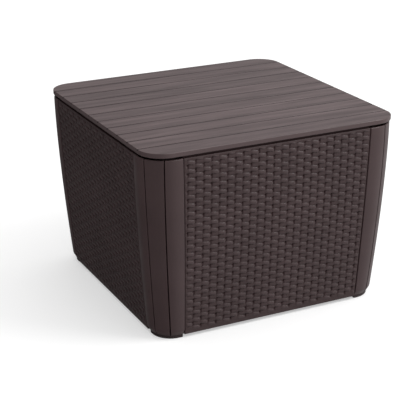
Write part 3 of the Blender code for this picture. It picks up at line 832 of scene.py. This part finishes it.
def post_levels():
    """Heights of the rings, each with how far the outside is drawn in there."""
    levels = [(BODY_BOTTOM, POST_LOW_EDGE), (BODY_BOTTOM + POST_LOW_EDGE, 0.0)]
    chamfer = np.linspace(BODY_BOTTOM + 2.5 * POST_LOW_EDGE, POST_CHAMFER_TOP - POST_BEND, 4)
    straight = np.linspace(POST_CHAMFER_TOP + POST_BEND, RIM_TOP - POST_TOP_EDGE, 26)
    levels += [(float(z), 0.0) for z in (*chamfer, *straight)]
    return levels + rounded_edge(RIM_TOP, -1, POST_TOP_EDGE, (0.3, 0.6, 0.9, 1.2, QUARTER_TURN))


def make_posts():
    sections = [(z, post_ring(z, shrink)) for z, shrink in post_levels()]
    verts, faces = loft([[(x, y, z) for x, y, sunk in section] for z, section in sections])
    # Relief for the material: low in the grooves and at the seams, where it paints shade
    relief = [1 - sunk for z, section in sections for x, y, sunk in section]
    for turn, corner in enumerate(CORNERS):
        item = make_object(f"post_{corner}", verts, faces)
        add_values(item, "relief", relief)
        item.data.transform(Matrix.Rotation(turn * QUARTER_TURN, 4, "Z"))
        dress(item, "post")
        smooth(item, 35)
        attach(item, "box", f"corner_post_{corner}")


# ---------------------------------------------------------------- lid

def square_ring(width, corner, z, steps):
    return [(x, y, z) for x, y in rounded_square(width, corner, steps)]


def lid_blank():
    """Rounded plate with rounded edges, a little taller than the finished lid."""
    levels = rounded_edge(LID_LOW.z, 1, LID_LOW_EDGE, np.linspace(QUARTER_TURN, 0, 5))
    levels += rounded_edge(LID_HIGH.z + LID_SPARE, -1, LID_EDGE, np.linspace(0, QUARTER_TURN, 9))
    rings = []
    for z, shrink in levels:
        rings.append(square_ring(LID_WIDTH - 2 * shrink, LID_CORNER - shrink, z, LID_STEPS))
    return make_object("lid_planked", *loft(rings))


def plank_block():
    """Block whose top has the shape of the planks: flat crowns between rounded grooves."""
    half = PLANK_GROOVE_WIDTH / 2
    outline = [(-BLOCK_REACH, LID_HIGH.z)]
    for i in range(PLANK_GROOVES):
        middle = (i - (PLANK_GROOVES - 1) / 2) * PLANK_PITCH
        for t in np.linspace(-1, 1, PLANK_GROOVE_STEPS):
            sunk = PLANK_GROOVE_DEPTH * (0.5 + 0.5 * math.cos(math.pi * t)) ** 0.8
            outline.append((middle + half * t, LID_HIGH.z - sunk))
    below = LID_LOW.z - CUT_MARGIN
    outline += [(BLOCK_REACH, LID_HIGH.z), (BLOCK_REACH, below), (-BLOCK_REACH, below)]
    outline.reverse()
    rings = [[(x, y, z) for y, z in outline] for x in (-BLOCK_REACH, BLOCK_REACH)]
    return make_object("planks", *loft(rings))


def liner_pocket():
    """The space under the lid's top that the liner fills."""
    corner = LID_CORNER - (LID_WIDTH - POCKET_WIDTH) / 2
    levels = (LID_LOW.z - POCKET_BELOW, LINER_TOP + GAP)
    rings = [square_ring(POCKET_WIDTH, corner, z, POCKET_STEPS) for z in levels]
    return make_object("pocket", *loft(rings))


def make_lid():
    """Rounded plate cut by a planked block above and by the liner's pocket below."""
    item = lid_blank()
    block = plank_block()
    pocket = liner_pocket()
    add_boolean(item, "INTERSECT", block)
    add_boolean(item, "DIFFERENCE", pocket)
    apply_booleans(item, block, pocket)
    dress(item, "lid")
    smooth(item, 30)
    weighted = item.modifiers.new("normals", "WEIGHTED_NORMAL")
    weighted.keep_sharp = True
    weighted.weight = 100
    attach(item, "lid", "lid_top")


# ---------------------------------------------------------------- small parts

def screw_profile():
    """Pan head, ringed shank and blunt tip, as (radius, height over the seat)."""
    angles = np.linspace(0, HEAD_ARC, 7)
    profile = [(HEAD_RADIUS * math.sin(a), HEAD_HEIGHT * math.cos(a)) for a in angles]
    profile += [(HEAD_RADIUS, HEAD_BAND), (HEAD_RADIUS - HEAD_EDGE, GAP), (SHANK_RADIUS, GAP)]
    for i in range(THREAD_TURNS):
        z = -THREAD_START - i * THREAD_PITCH
        profile += [(SHANK_RADIUS, z), (SHANK_RADIUS - THREAD_DEPTH, z - THREAD_PITCH / 2)]
    return profile + [(TIP_RADIUS, TIP_LENGTH - SHANK_LENGTH), (0, -SHANK_LENGTH)]


def screw_mesh():
    """The screw turned round +Z, with a cross recess in its head."""
    profile = screw_profile()
    verts, faces = [], []
    for radius, z in profile:
        for k in range(SCREW_SIDES):
            angle = 2 * math.pi * k / SCREW_SIDES
            verts.append((radius * math.cos(angle), radius * math.sin(angle), z))
    for level in range(len(profile) - 1):
        upper, lower = level * SCREW_SIDES, (level + 1) * SCREW_SIDES
        for k in range(SCREW_SIDES):
            j = (k + 1) % SCREW_SIDES
            faces.append((upper + k, lower + k, lower + j, upper + j))
    master = make_object("screw_master", verts, faces)
    with editing(master.data) as bm:
        bmesh.ops.remove_doubles(bm, verts=bm.verts, dist=TINY)
        bmesh.ops.recalc_face_normals(bm, faces=bm.faces)

    slots = []
    for x, y in ((CROSS_LENGTH / 2, CROSS_WIDTH / 2), (CROSS_WIDTH / 2, CROSS_LENGTH / 2)):
        slots.append(((-x, -y, HEAD_HEIGHT - CROSS_DEPTH), (x, y, HEAD_HEIGHT + CROSS_DEPTH)))
    cross = make_blocks("cross", slots)
    add_boolean(master, "DIFFERENCE", cross).use_self = True
    apply_booleans(master, cross)
    dress(master, "steel")
    smooth(master, 35)
    shape = master.data
    bpy.data.objects.remove(master)
    return shape


def screw_axis(node):
    """Top of the head of a CAD screw, and the direction from its tip to there."""
    points = np.array([v.co for v in nodes[node].data.vertices])
    tip = points[np.argmax(np.linalg.norm(points - points.mean(0), axis=1))]
    apex = points[np.argmax(np.linalg.norm(points - tip, axis=1))]
    return Vector(apex), Vector(apex - tip).normalized()


def make_screws():
    """One screw for each screw of the CAD model, each turned by a random angle."""
    shape = screw_mesh()
    for body, members in frame["record"]["behaviour"]["bodies"].items():
        for node in members:
            if "screw" not in node:
                continue
            apex, axis = screw_axis(node)
            spin = Matrix.Rotation(float(rng.uniform(0, QUARTER_TURN)), 4, "Z")
            item = link_object(f"drive_{node}", shape)
            seat = Matrix.Translation(apex - axis * HEAD_HEIGHT)
            item.matrix_world = seat @ axis.to_track_quat("Z", "Y").to_matrix().to_4x4() @ spin
            attach(item, body, node)


def dress_cad():
    """Procedural finishes and slightly broken edges on the CAD nodes that stay."""
    looks = {"floor_panel": "inner", "lid_liner": "inner"}
    for side in ("left", "right"):
        looks[f"hinge_bracket_{side}"] = "inner"
        looks[f"hinge_arm_{side}"] = "inner"
        looks[f"hinge_pin_{side}"] = "steel"
    for corner in CORNERS:
        looks[f"foot_{corner}"] = "foot"
    for node, look in looks.items():
        item = nodes[node]
        dress(item, look)
        break_edges(item, HINGE_EDGE if "hinge" in node else PLAIN_EDGE)


# ---------------------------------------------------------------- stage

def studio_glow(tree, direction, glow, upward):
    """Brightness of the studio along a direction; glow gives two positions and their two levels."""
    split = tree.nodes.new("ShaderNodeSeparateXYZ")
    tree.links.new(direction, split.inputs["Vector"])
    raised = tree.nodes.new("ShaderNodeMath")
    raised.operation = "MULTIPLY_ADD"
    raised.inputs[1].default_value = upward
    tree.links.new(split.outputs["Z"], raised.inputs[0])
    tree.links.new(split.outputs["X"], raised.inputs[2])
    ramp = tree.nodes.new("ShaderNodeMapRange")
    for name, value in zip(("From Min", "From Max", "To Min", "To Max"), glow):
        ramp.inputs[name].default_value = value
    tree.links.new(raised.outputs["Value"], ramp.inputs["Value"])
    return ramp.outputs["Result"]


def floor_seen(tree, path):
    """Pale matte floor, lifted towards white for the camera only."""
    diffuse = tree.nodes.new("ShaderNodeBsdfDiffuse")
    diffuse.inputs["Color"].default_value = (FLOOR_ALBEDO, FLOOR_ALBEDO, FLOOR_ALBEDO, 1)
    seen_only = tree.nodes.new("ShaderNodeMath")
    seen_only.operation = "MULTIPLY"
    seen_only.inputs[1].default_value = FLOOR_LIFT
    tree.links.new(path.outputs["Is Camera Ray"], seen_only.inputs[0])
    lift = tree.nodes.new("ShaderNodeEmission")
    tree.links.new(seen_only.outputs[0], lift.inputs["Strength"])
    both = tree.nodes.new("ShaderNodeAddShader")
    tree.links.new(diffuse.outputs[0], both.inputs[0])
    tree.links.new(lift.outputs[0], both.inputs[1])
    return both.outputs[0]


def floor_mirrored(tree):
    """What a glossy ray meets on the floor: the studio's glow along the ray."""
    geometry = tree.nodes.new("ShaderNodeNewGeometry")
    away = tree.nodes.new("ShaderNodeVectorMath")
    away.operation = "SCALE"
    away.inputs["Scale"].default_value = -1
    tree.links.new(geometry.outputs["Incoming"], away.inputs[0])
    mirrored = tree.nodes.new("ShaderNodeEmission")
    glow = studio_glow(tree, away.outputs[0], GLOSSY_GLOW, 0.0)
    tree.links.new(glow, mirrored.inputs["Strength"])
    return mirrored.outputs[0]


def make_floor():
    material = bpy.data.materials.new("studio_floor")
    material.use_nodes = True
    tree = material.node_tree
    tree.nodes.clear()
    path = tree.nodes.new("ShaderNodeLightPath")
    mix = tree.nodes.new("ShaderNodeMixShader")
    tree.links.new(path.outputs["Is Glossy Ray"], mix.inputs[0])
    tree.links.new(floor_seen(tree, path), mix.inputs[1])
    tree.links.new(floor_mirrored(tree), mix.inputs[2])
    output = tree.nodes.new("ShaderNodeOutputMaterial")
    tree.links.new(mix.outputs[0], output.inputs["Surface"])
    signs = ((-1, -1), (1, -1), (1, 1), (-1, 1))
    corners = [(x * FLOOR_REACH, y * FLOOR_REACH, 0) for x, y in signs]
    floor = make_object("studio_floor", corners, [(0, 1, 2, 3)])
    floor.data.materials.append(material)


def make_world():
    """One brightness for diffuse rays, one for glossy rays and a white backdrop for the camera."""
    world = bpy.data.worlds.new("studio")
    bpy.context.scene.world = world
    world.use_nodes = True
    tree = world.node_tree
    background = tree.nodes["Background"]
    background.inputs["Color"].default_value = (1, 1, 1, 1)
    direction = tree.nodes.new("ShaderNodeTexCoord").outputs["Generated"]
    path = tree.nodes.new("ShaderNodeLightPath")
    strength = studio_glow(tree, direction, DIFFUSE_GLOW, GLOW_UPWARD)
    mirrored = studio_glow(tree, direction, GLOSSY_GLOW, 0.0)
    backdrop = tree.nodes.new("ShaderNodeValue")
    backdrop.outputs[0].default_value = BACKDROP
    for kind, value in (("Is Glossy Ray", mirrored), ("Is Camera Ray", backdrop.outputs[0])):
        pick = tree.nodes.new("ShaderNodeMix")
        pick.data_type = "FLOAT"
        tree.links.new(path.outputs[kind], pick.inputs[0])
        tree.links.new(strength, pick.inputs[2])
        tree.links.new(value, pick.inputs[3])
        strength = pick.outputs[0]
    tree.links.new(strength, background.inputs["Strength"])


def add_key_light():
    light = bpy.data.lights.new("key", "AREA")
    light.energy = KEY_POWER
    light.size = KEY_SIZE
    item = link_object("key", light)
    item.location = KEY_PLACE
    item.rotation_mode = "QUATERNION"
    item.rotation_quaternion = (KEY_TARGET - KEY_PLACE).to_track_quat("-Z", "Y")
    item.visible_camera = False


def make_camera():
    """Camera aimed by its azimuth from the front, its elevation and a slight roll."""
    camera = bpy.data.cameras.new("camera")
    camera.lens = CAMERA_LENS
    camera.sensor_width = 36
    camera.clip_start = 0.05
    item = link_object("camera", camera)
    turned = Matrix.Rotation(CAMERA_AZIMUTH, 4, "Z")
    tilted = Matrix.Rotation(QUARTER_TURN - CAMERA_ELEVATION, 4, "X")
    rolled = Matrix.Rotation(CAMERA_ROLL, 4, "Z")
    item.matrix_world = Matrix.Translation(CAMERA_PLACE) @ turned @ tilted @ rolled
    bpy.context.scene.camera = item


bpy.context.scene.view_settings.view_transform = "Standard"
make_walls()
make_posts()
make_lid()
make_screws()
dress_cad()
make_floor()
make_world()
add_key_light()
make_camera()
